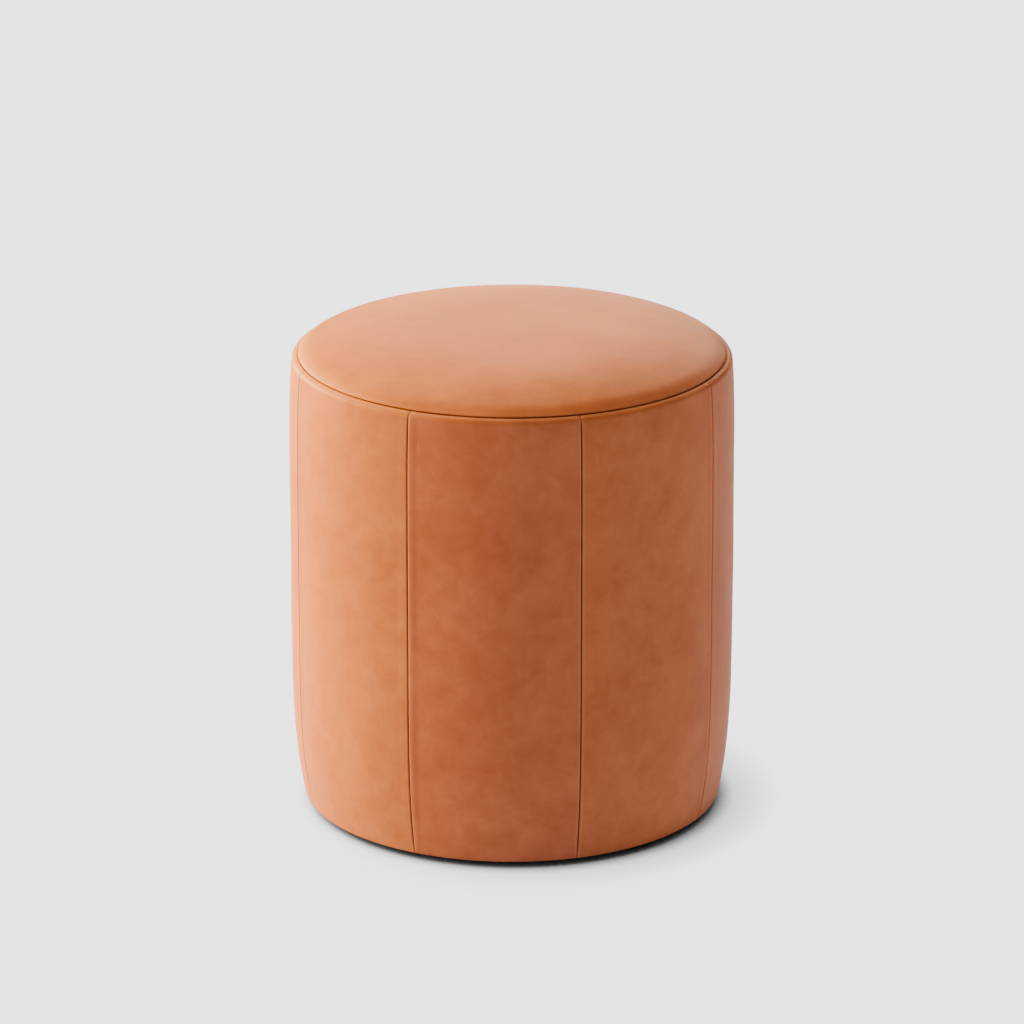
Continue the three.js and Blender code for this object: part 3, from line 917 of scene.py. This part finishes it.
def make_seat_foam():
    """The crowned disc of seat foam on the top board, filled out by cloth pressure."""
    look = stuffing()
    bm = bmesh.new()
    bm.from_mesh(NODES["top_foam"].data)
    bmesh.ops.remove_doubles(bm, verts=bm.verts, dist=0.01 * MM)
    low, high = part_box("top_foam")
    for vert in bm.verts:
        share = (vert.co.z - low.z) / (high.z - low.z)
        vert.co.z -= 0.6 * MM * share
        vert.co.xy *= 1 - 0.012 * share
    piece = piece_from("seat_foam", bm, foam_material("seat_foam", tuple(look.foam)))
    apply_modifier(piece, "REMESH", mode="VOXEL", voxel_size=look.voxel)
    piece.data.materials.clear()
    piece.data.materials.append(bpy.data.materials["seat_foam"])
    fill_out(piece, lambda co: co.z < low.z + 3 * MM, look.travel)
    apply_modifier(piece, "SUBSURF", levels=1, render_levels=1)
    piece.data.shade_smooth()
    settle(piece, "foam", "top_foam")


def crown_height(r):
    """Height and downward slope of the top leather's face at a distance from the axis."""
    look = cover()
    share = r / SEAM_RADIUS
    rise = HEIGHT - SEAM_HEIGHT - look.gap
    slope = rise * look.crown_power * share ** (look.crown_power - 1) / SEAM_RADIUS
    return HEIGHT - rise * share ** look.crown_power, slope


def make_batting():
    """The fluffy sheet of batting between the seat foam and the top leather."""
    look = stuffing()
    rim_radius = rim("batting_cap")
    depth = cover().leather + look.slack
    points = []
    for i in range(41):
        r = rim_radius * (1 - (1 - i / 40) ** 1.3)
        z, slope = crown_height(r)
        points.append((r, z - depth * math.hypot(1, slope)))
    bm = bmesh.new()
    chain(bm, points)
    turn_full(bm, 128)
    thicken(bm, look.batting)
    for vert in bm.verts:
        r = from_axis(vert.co)
        vert.co.z -= BATTING_FLUFF * (1 + wander(vert.co, 6, 0.012))
        ragged = smoothstep(r, rim_radius - 6 * MM, rim_radius)
        vert.co.xy *= 1 - 0.006 * ragged * (1 + wander(vert.co, 7, 0.008))
    piece = piece_from("batting_sheet", bm, batting_material())
    settle(piece, "batting", "batting_cap")


def make_side_foam():
    """The foam wrapped round the shell, pressed in behind each upright seam."""
    look = stuffing()
    sewing = cover()
    inner = eye("side_foam")
    low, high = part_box("side_foam")
    depth = sewing.leather + look.slack
    top = high.z - 0.6 * MM
    outer = [(side_radius(low.z + 4 * MM) - depth - 4 * MM, low.z)]
    rows = 56
    outer += [(side_radius(z) - depth, z) for z in
              (low.z + 3 * MM + (high.z - low.z - 3 * MM) * i / rows for i in range(rows + 1))]
    outer = [(r, min(z, top)) for r, z in outer]
    loop = outer + [(inner, top), (inner, low.z)]
    from_seam = (0, 1.7, 2.2, 3.4, 6, 12, 24, 40, 58)  # millimetres
    offsets = [t * MM / BODY_RADIUS for t in from_seam]
    offsets += [FACE] + [2 * FACE - t for t in reversed(offsets)][:-1]
    columns = [-math.pi / 2 + FACE + 2 * FACE * k + t for k in range(PANELS) for t in offsets]
    bm = bmesh.new()
    verts = chain(bm, loop)
    bm.edges.new((verts[-1], verts[0]))
    bmesh.ops.spin(bm, geom=bm.verts[:] + bm.edges[:], cent=(0, 0, 0), axis=(0, 0, 1),
                   angle=2 * math.pi, steps=len(columns), use_merge=True)
    bmesh.ops.remove_doubles(bm, verts=bm.verts, dist=WELD)
    step = 2 * math.pi / len(columns)
    slot_depth = sewing.fold + sewing.allowance + 0.6 * MM - depth
    for vert in bm.verts:
        r = from_axis(vert.co)
        azimuth = math.atan2(vert.co.y, vert.co.x) + math.pi / 2
        column = columns[round(azimuth / step) % len(columns)]
        away = abs((column + math.pi / 2) % (2 * FACE) - FACE) * BODY_RADIUS
        if r > inner + 1 * MM:
            ends = band(vert.co.z, low.z, low.z + 8 * MM, high.z - 8 * MM, high.z - 1 * MM)
            pressed = 1 - smoothstep(away, 1.9 * MM, 3.3 * MM)
            r = max(inner + 1.5 * MM, r - slot_depth * ends * pressed)
            r -= FOAM_DENTS * (1 + wander(vert.co, 8, 0.03))
        vert.co.x, vert.co.y = r * math.cos(column), r * math.sin(column)
    bmesh.ops.recalc_face_normals(bm, faces=bm.faces)
    material = foam_material("wrap_foam", (0.84, 0.82, 0.72))
    piece = piece_from("wrap_foam", bm, material, smooth=False)
    settle(piece, "foam", "side_foam")


# ---------------- underside

def make_dust_cover():
    """The non-woven cloth under the base, its edge turned in and tacked."""
    look = underside()
    low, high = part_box("dust_cover")
    top_z, bottom_z = high.z - look.dust_cloth, low.z + look.dust_cloth * 0.2
    bend = (top_z - bottom_z) / 2
    edge = look.dust_radius - bend
    points = [(edge * (i / 40) ** 0.9, bottom_z) for i in range(41)]
    points += [(edge + bend * math.sin(a), bottom_z + bend - bend * math.cos(a))
               for a in (math.pi * i / 6 for i in range(1, 6))]
    points += [(edge - look.dust_edge * i / 6, top_z) for i in range(7)]
    bm = bmesh.new()
    chain(bm, points)
    turn_full(bm, 192)
    bmesh.ops.solidify(bm, geom=bm.faces[:], thickness=look.dust_cloth)
    bmesh.ops.recalc_face_normals(bm, faces=bm.faces)
    tack = look.dust_radius - TACK_INSET
    for vert in bm.verts:
        r = from_axis(vert.co)
        azimuth = math.atan2(vert.co.y, vert.co.x)
        between = 0.5 - 0.5 * math.cos(azimuth * look.dust_staples)
        near = smoothstep(r, tack - 40 * MM, tack)
        vert.co.xy *= 1 - 0.0035 * between * near
        free = smoothstep(tack - r, 2 * MM, 30 * MM)
        vert.co.z += 0.12 * MM * free * (1 + wander(vert.co, 9, 0.05))
    piece = piece_from("dust_cloth", bm, dust_cloth_material())
    settle(piece, "dust_cloth", "dust_cover")


def staples(name, count, radius, crown_z, turn):
    """A ring of staples: crowns under the cloth or leather, legs in the board.

    turn is the angle, in radians, that each crown is off the line of the ring.
    """
    look = underside()
    half = look.staple_width / 2 - WIRE
    bm = bmesh.new()
    for i in range(count):
        azimuth = 2 * math.pi * i / count
        askew = azimuth + (turn + 0.12 * wander((i, 0.5, 0.5), 10, 1.7))
        middle = Vector((radius * math.cos(azimuth), radius * math.sin(azimuth), crown_z))
        along = Vector((-math.sin(askew), math.cos(askew), 0))
        ends = (middle - along * half, middle + along * half)
        rod(bm, ends[0] - along * WIRE, ends[1] + along * WIRE, WIRE)
        for end in ends:
            rod(bm, end, end + Vector((0, 0, look.staple_leg)), WIRE)
    piece = piece_from(name, bm, steel_material())
    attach(piece, "root")


def make_staples():
    """The staples of the hem and of the dust cover."""
    look = underside()
    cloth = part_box("dust_cover")[0].z
    staples("hem_staples", look.hem_staples, HEM_TACKS, HEM_BOTTOM - 0.2 * MM, 0.0)
    staples("dust_cover_staples", look.dust_staples, look.dust_radius - TACK_INSET,
            cloth - 0.15 * MM, 0.2)


def make_glides():
    """The four nylon glides, moulded round their nails' heads."""
    material = nylon_material()
    for k in range(GLIDES):
        low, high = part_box(f"glide_{k + 1}")
        middle = (low + high) / 2
        radius, top = (high.x - low.x) / 2, high.z
        sole, rise, edge = radius - 3 * MM, 1.9 * MM, 0.5 * MM
        points = [(0, 0), (sole - 1 * MM, 0)]
        points += [(sole + (radius - sole) * math.sin(a), rise * (1 - math.cos(a)))
                   for a in (math.pi / 2 * i / 6 for i in range(7))]
        points += [(radius, top - edge), (radius - edge, top), (0, top)]
        bm = bmesh.new()
        chain(bm, points)
        turn_full(bm, 48)
        bmesh.ops.translate(bm, verts=bm.verts, vec=(middle.x, middle.y, 0))
        piece = piece_from(f"nylon_glide_{k + 1}", bm, material)
        settle(piece, "nylon", f"glide_{k + 1}")


def dress(names, material):
    """Gives CAD nodes a material without touching their meshes."""
    for name in names:
        holder = NODES[name].material_slots[0]
        holder.link = "OBJECT"
        holder.material = material


def finish_frame():
    """Boards, shell, posts, screws and nails."""
    dress(["base_board", "top_board"], plywood_material("board_plywood", upright=False))
    dress(["side_shell"], plywood_material("bending_plywood", upright=True))
    dress([f"post_{i + 1}" for i in range(POSTS)], pine_material())
    steel = steel_material()
    dress([f"{end}_screw_{i + 1}" for end in ("top", "base") for i in range(POSTS)], steel)
    dress([f"glide_nail_{i + 1}" for i in range(GLIDES)], steel)


# ---------------- stage

FLOOR_RADIUS = 30


def make_floor():
    bm = bmesh.new()
    bmesh.ops.create_circle(bm, cap_ends=True, radius=FLOOR_RADIUS, segments=64)
    piece_from("floor", bm, floor_material(), smooth=False)


def sun(name, strength, tone, azimuth, elevation):
    """A soft, even light from a direction: azimuth from the front towards +X."""
    light = bpy.data.lights.new(name, "SUN")
    light.energy = strength
    light.color = tone
    light.angle = stage().spread
    lamp = bpy.data.objects.new(name, light)
    bpy.context.scene.collection.objects.link(lamp)
    level = math.cos(elevation)
    towards = Vector((level * math.sin(azimuth), -level * math.cos(azimuth), math.sin(elevation)))
    lamp.rotation_euler = towards.to_track_quat("Z", "Y").to_euler()


def make_lights():
    """Six soft lights, placed by their degrees round from the camera and above the floor."""
    look = stage()
    lamps = (("key", look.key, look.warm, -132, 12),
             ("side", look.side, look.warm, -100, 12),
             ("rear", look.rear, look.mild, 172, 24),
             ("over", look.over, look.mild, -150, 62),
             ("top", look.top, look.warm, -70, 38),
             ("fill", look.fill, look.mild, 88, 14))
    for name, strength, tone, azimuth, elevation in lamps:
        sun(name, strength, tone, look.azimuth + math.radians(azimuth), math.radians(elevation))
    world = bpy.data.worlds.new("studio")
    world.use_nodes = True
    back = world.node_tree.nodes["Background"]
    back.inputs["Color"].default_value = (*look.floor, 1)
    back.inputs["Strength"].default_value = look.sky
    bpy.context.scene.world = world


def make_camera():
    look = stage()
    lens = bpy.data.cameras.new("camera")
    lens.lens = look.lens
    lens.sensor_width = 36
    lens.clip_end = 100
    camera = bpy.data.objects.new("camera", lens)
    camera.location = (look.distance * math.sin(look.azimuth),
                       -look.distance * math.cos(look.azimuth), look.height)
    camera.rotation_euler = (math.pi / 2 - look.pitch, 0, look.azimuth)
    bpy.context.scene.collection.objects.link(camera)
    bpy.context.scene.camera = camera


def make_stage():
    make_floor()
    make_lights()
    make_camera()
    view = bpy.context.scene.view_settings
    view.view_transform = "AgX"
    view.look = "AgX - High Contrast"


# ---------------- operators

class Step:
    """What every step of the build has in common."""
    bl_options = {"REGISTER"}

    def execute(self, context):
        self.build()
        return {"FINISHED"}


class POUF_OT_stage(Step, bpy.types.Operator):
    """Lay the floor, hang the lights and place the camera"""
    bl_idname = "pouf.stage"
    bl_label = "Stage"
    build = staticmethod(make_stage)


class POUF_OT_frame(Step, bpy.types.Operator):
    """Finish the boards, the shell, the posts and their fasteners"""
    bl_idname = "pouf.frame"
    bl_label = "Wooden frame"
    build = staticmethod(finish_frame)


class POUF_OT_seat_foam(Step, bpy.types.Operator):
    """Lay the crowned seat foam on the top board"""
    bl_idname = "pouf.seat_foam"
    bl_label = "Seat foam"
    build = staticmethod(make_seat_foam)


class POUF_OT_batting(Step, bpy.types.Operator):
    """Lay the batting over the seat foam"""
    bl_idname = "pouf.batting"
    bl_label = "Batting"
    build = staticmethod(make_batting)


class POUF_OT_wrap_foam(Step, bpy.types.Operator):
    """Wrap the shell in foam"""
    bl_idname = "pouf.wrap_foam"
    bl_label = "Wrap foam"
    build = staticmethod(make_side_foam)


class POUF_OT_side_leather(Step, bpy.types.Operator):
    """Cut and fold the eight side panels"""
    bl_idname = "pouf.side_leather"
    bl_label = "Side panels"
    build = staticmethod(make_side_panels)


class POUF_OT_top_leather(Step, bpy.types.Operator):
    """Cut and fold the top panel"""
    bl_idname = "pouf.top_leather"
    bl_label = "Top panel"
    build = staticmethod(make_top_panel)


class POUF_OT_side_stitches(Step, bpy.types.Operator):
    """Sew the upright seams"""
    bl_idname = "pouf.side_stitches"
    bl_label = "Upright seams"
    build = staticmethod(make_side_threads)


class POUF_OT_top_stitches(Step, bpy.types.Operator):
    """Sew the seam round the top"""
    bl_idname = "pouf.top_stitches"
    bl_label = "Top seam"
    build = staticmethod(make_top_thread)


class POUF_OT_dust_cover(Step, bpy.types.Operator):
    """Stretch the dust cover under the base"""
    bl_idname = "pouf.dust_cover"
    bl_label = "Dust cover"
    build = staticmethod(make_dust_cover)


class POUF_OT_staples(Step, bpy.types.Operator):
    """Staple the hem and the dust cover"""
    bl_idname = "pouf.staples"
    bl_label = "Staples"
    build = staticmethod(make_staples)


class POUF_OT_glides(Step, bpy.types.Operator):
    """Mould the four glides"""
    bl_idname = "pouf.glides"
    bl_label = "Glides"
    build = staticmethod(make_glides)


STEPS = (POUF_OT_stage, POUF_OT_frame, POUF_OT_seat_foam, POUF_OT_batting, POUF_OT_wrap_foam,
         POUF_OT_side_leather, POUF_OT_top_leather, POUF_OT_side_stitches, POUF_OT_top_stitches,
         POUF_OT_dust_cover, POUF_OT_staples, POUF_OT_glides)
GROUPS = {"pouf_cover": PoufCover, "pouf_stuffing": PoufStuffing, "pouf_base": PoufBase,
          "pouf_stage": PoufStage}


class POUF_PT_panel(bpy.types.Panel):
    """The steps of the build and the sizes and colours that they use"""
    bl_label = "Leather Drum Pouf"
    bl_idname = "POUF_PT_panel"
    bl_space_type = "VIEW_3D"
    bl_region_type = "UI"
    bl_category = "Pouf"

    def draw(self, context):
        for step in STEPS:
            self.layout.operator(step.bl_idname)
        for name, group in GROUPS.items():
            box = self.layout.box()
            for key in group.__annotations__:
                box.prop(getattr(context.scene, name), key)


def register():
    for group in GROUPS.values():
        bpy.utils.register_class(group)
    for name, group in GROUPS.items():
        setattr(bpy.types.Scene, name, bpy.props.PointerProperty(type=group))
    for step in STEPS:
        bpy.utils.register_class(step)
    bpy.utils.register_class(POUF_PT_panel)


def unregister():
    bpy.utils.unregister_class(POUF_PT_panel)
    for step in reversed(STEPS):
        bpy.utils.unregister_class(step)
    for name, group in GROUPS.items():
        delattr(bpy.types.Scene, name)
        bpy.utils.unregister_class(group)


def main():
    register()
    for step in STEPS:
        area, name = step.bl_idname.split(".")
        getattr(getattr(bpy.ops, area), name)()


if __name__ == "__main__":
    main()
